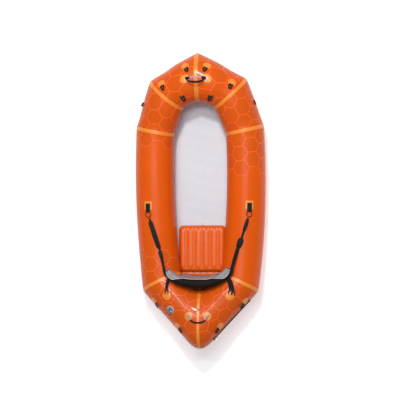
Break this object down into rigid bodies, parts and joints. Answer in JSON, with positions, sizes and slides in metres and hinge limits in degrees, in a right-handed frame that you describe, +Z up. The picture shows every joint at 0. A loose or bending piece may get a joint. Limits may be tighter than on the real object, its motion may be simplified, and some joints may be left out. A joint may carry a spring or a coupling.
{
  "type": "packraft",
  "caption": "Orange inflatable one-person boat: pointed tube hull of taped panels, thin floor, ribbed seat, strapped backrest, tie-down loops, carrying handles, valve and cargo zip.",
  "frame": {"origin": "on the ground under the middle of the hull", "axes": "+Y towards the bow, +X towards the paddler's right, +Z up"},
  "size_m": [1.0252, 2.3012, 0.4882],
  "materials": {
    "hull_fabric": "coated woven nylon, satin",
    "tape_fabric": "coated woven nylon, matt",
    "floor_fabric": "coated woven nylon, matt",
    "black_webbing": "woven webbing, matt",
    "seat_fabric": "coated nylon, glossy",
    "backrest_fabric": "woven nylon, matt",
    "valve_plastic": "translucent moulded plastic",
    "black_plastic": "moulded, matt",
    "seat_valve_plastic": "moulded, satin",
    "slider_metal": "bead-blasted"
  },
  "bodies": {
    "hull": {"bow_centre_tape": "tape_fabric", "bow_corner_tape_left": "tape_fabric", "bow_corner_tape_right": "tape_fabric", "bow_handle_patch_left": "tape_fabric", "bow_handle_patch_right": "tape_fabric", "bow_inner_patch_left": "tape_fabric", "bow_inner_patch_right": "tape_fabric", "bow_outer_patch_left": "tape_fabric", "bow_outer_patch_right": "tape_fabric", "bow_panel_left": "hull_fabric", "bow_panel_right": "hull_fabric", "cargo_zip": "black_plastic", "floor_sheet": "floor_fabric", "front_strap_left": "black_webbing", "front_strap_patch_left": "tape_fabric", "front_strap_patch_right": "tape_fabric", "front_strap_right": "black_webbing", "front_strap_ring_left": "black_plastic", "front_strap_ring_right": "black_plastic", "rear_strap_left": "black_webbing", "rear_strap_patch_left": "tape_fabric", "rear_strap_patch_right": "tape_fabric", "rear_strap_right": "black_webbing", "seat_cushion": "seat_fabric", "shoulder_panel_left": "hull_fabric", "shoulder_panel_right": "hull_fabric", "shoulder_tape_left": "tape_fabric", "shoulder_tape_right": "tape_fabric", "side_panel_left": "hull_fabric", "side_panel_right": "hull_fabric", "stern_centre_tape": "tape_fabric", "stern_corner_tape_left": "tape_fabric", "stern_corner_tape_right": "tape_fabric", "stern_handle_patch_left": "tape_fabric", "stern_handle_patch_right": "tape_fabric", "stern_lower_patch_left": "tape_fabric", "stern_lower_patch_right": "tape_fabric", "stern_panel_left": "hull_fabric", "stern_panel_right": "hull_fabric", "stern_upper_patch_left": "tape_fabric", "stern_upper_patch_right": "tape_fabric", "valve_body": "valve_plastic"},
    "bow_cockpit_loop_left": {"bow_cockpit_loop_left": "black_webbing"},
    "bow_cockpit_loop_right": {"bow_cockpit_loop_right": "black_webbing"},
    "bow_inner_loop_left": {"bow_inner_loop_left": "black_webbing"},
    "bow_inner_loop_right": {"bow_inner_loop_right": "black_webbing"},
    "bow_outer_loop_left": {"bow_outer_loop_left": "black_webbing"},
    "bow_outer_loop_right": {"bow_outer_loop_right": "black_webbing"},
    "shoulder_side_loop_left": {"shoulder_side_loop_left": "black_webbing"},
    "shoulder_side_loop_right": {"shoulder_side_loop_right": "black_webbing"},
    "stern_lower_loop_left": {"stern_lower_loop_left": "black_webbing"},
    "stern_lower_loop_right": {"stern_lower_loop_right": "black_webbing"},
    "stern_upper_loop_left": {"stern_upper_loop_left": "black_webbing"},
    "stern_upper_loop_right": {"stern_upper_loop_right": "black_webbing"},
    "backrest": {"backrest": "backrest_fabric"},
    "bow_handle": {"bow_handle": "black_webbing"},
    "stern_handle": {"stern_handle": "black_webbing"},
    "valve_cap": {"valve_cap": "valve_plastic"},
    "seat_valve": {"seat_valve": "seat_valve_plastic"},
    "zip_slider": {"zip_slider": "slider_metal"}
  },
  "joints": [
    {"name": "bow_cockpit_loop_left_hinge", "type": "hinge", "parent": "hull", "child": "bow_cockpit_loop_left", "pos_m": [-0.10754, 0.7941, 0.38603], "axis": [-0.879, -0.45, -0.1575], "range_deg": [-6, 120]},
    {"name": "bow_cockpit_loop_right_hinge", "type": "hinge", "parent": "hull", "child": "bow_cockpit_loop_right", "pos_m": [0.10754, 0.7941, 0.38603], "axis": [-0.879, 0.45, 0.1575], "range_deg": [-6, 120]},
    {"name": "bow_inner_loop_left_hinge", "type": "hinge", "parent": "hull", "child": "bow_inner_loop_left", "pos_m": [-0.07486, 1.01046, 0.41883], "axis": [-0.8901, -0.4557, 0], "range_deg": [-6, 120]},
    {"name": "bow_inner_loop_right_hinge", "type": "hinge", "parent": "hull", "child": "bow_inner_loop_right", "pos_m": [0.07486, 1.01046, 0.41883], "axis": [-0.8901, 0.4557, 0], "range_deg": [-6, 120]},
    {"name": "bow_outer_loop_left_hinge", "type": "hinge", "parent": "hull", "child": "bow_outer_loop_left", "pos_m": [-0.26443, 0.88088, 0.38607], "axis": [-0.8745, -0.4477, -0.1867], "range_deg": [-6, 120]},
    {"name": "bow_outer_loop_right_hinge", "type": "hinge", "parent": "hull", "child": "bow_outer_loop_right", "pos_m": [0.26443, 0.88088, 0.38607], "axis": [-0.8745, 0.4477, 0.1867], "range_deg": [-6, 120]},
    {"name": "shoulder_side_loop_left_hinge", "type": "hinge", "parent": "hull", "child": "shoulder_side_loop_left", "pos_m": [-0.44298, 0.75955, 0.23741], "axis": [-0.3338, -0.9126, -0.2362], "range_deg": [-6, 120]},
    {"name": "shoulder_side_loop_right_hinge", "type": "hinge", "parent": "hull", "child": "shoulder_side_loop_right", "pos_m": [0.44298, 0.75955, 0.23741], "axis": [-0.3338, 0.9126, 0.2362], "range_deg": [-6, 120]},
    {"name": "stern_lower_loop_left_hinge", "type": "hinge", "parent": "hull", "child": "stern_lower_loop_left", "pos_m": [-0.14998, -0.98559, 0.34222], "axis": [-0.3941, -0.5204, -0.7576], "range_deg": [-6, 120]},
    {"name": "stern_lower_loop_right_hinge", "type": "hinge", "parent": "hull", "child": "stern_lower_loop_right", "pos_m": [0.14998, -0.98559, 0.34222], "axis": [-0.3941, 0.5204, 0.7576], "range_deg": [-6, 120]},
    {"name": "stern_upper_loop_left_hinge", "type": "hinge", "parent": "hull", "child": "stern_upper_loop_left", "pos_m": [-0.33896, -0.79849, 0.29395], "axis": [-0.3328, -0.4636, -0.8212], "range_deg": [-6, 120]},
    {"name": "stern_upper_loop_right_hinge", "type": "hinge", "parent": "hull", "child": "stern_upper_loop_right", "pos_m": [0.33896, -0.79849, 0.29395], "axis": [-0.3328, 0.4636, 0.8212], "range_deg": [-6, 120]},
    {"name": "bow_handle_hinge", "type": "hinge", "parent": "hull", "child": "bow_handle", "pos_m": [0, 0.93253, 0.44687], "axis": [-1, 0, 0], "range_deg": [0, 95]},
    {"name": "stern_handle_hinge", "type": "hinge", "parent": "hull", "child": "stern_handle", "pos_m": [0, -0.88259, 0.40424], "axis": [-1, 0, 0], "range_deg": [0, 140]},
    {"name": "valve_cap_turn", "type": "hinge", "parent": "hull", "child": "valve_cap", "pos_m": [-0.21648, -0.83558, 0.36013], "axis": [-0.3992, -0.2026, 0.8942], "range_deg": [0, 90]},
    {"name": "seat_valve_turn", "type": "hinge", "parent": "hull", "child": "seat_valve", "pos_m": [0, -0.19596, 0.03842], "axis": [0, 0.998, -0.0628], "range_deg": [0, 90]},
    {"name": "zip_slide", "type": "slide", "parent": "hull", "child": "zip_slider", "axis": [0.677, 0.7232, -0.1366], "range_m": [0, 0.36]},
    {"name": "backrest_fold", "type": "hinge", "parent": "hull", "child": "backrest", "pos_m": [0, -0.587, 0.11], "axis": [-1, 0, 0], "range_deg": [0, 20], "deforming": ["front_strap_left", "front_strap_right", "rear_strap_left", "rear_strap_right"]}
  ]
}
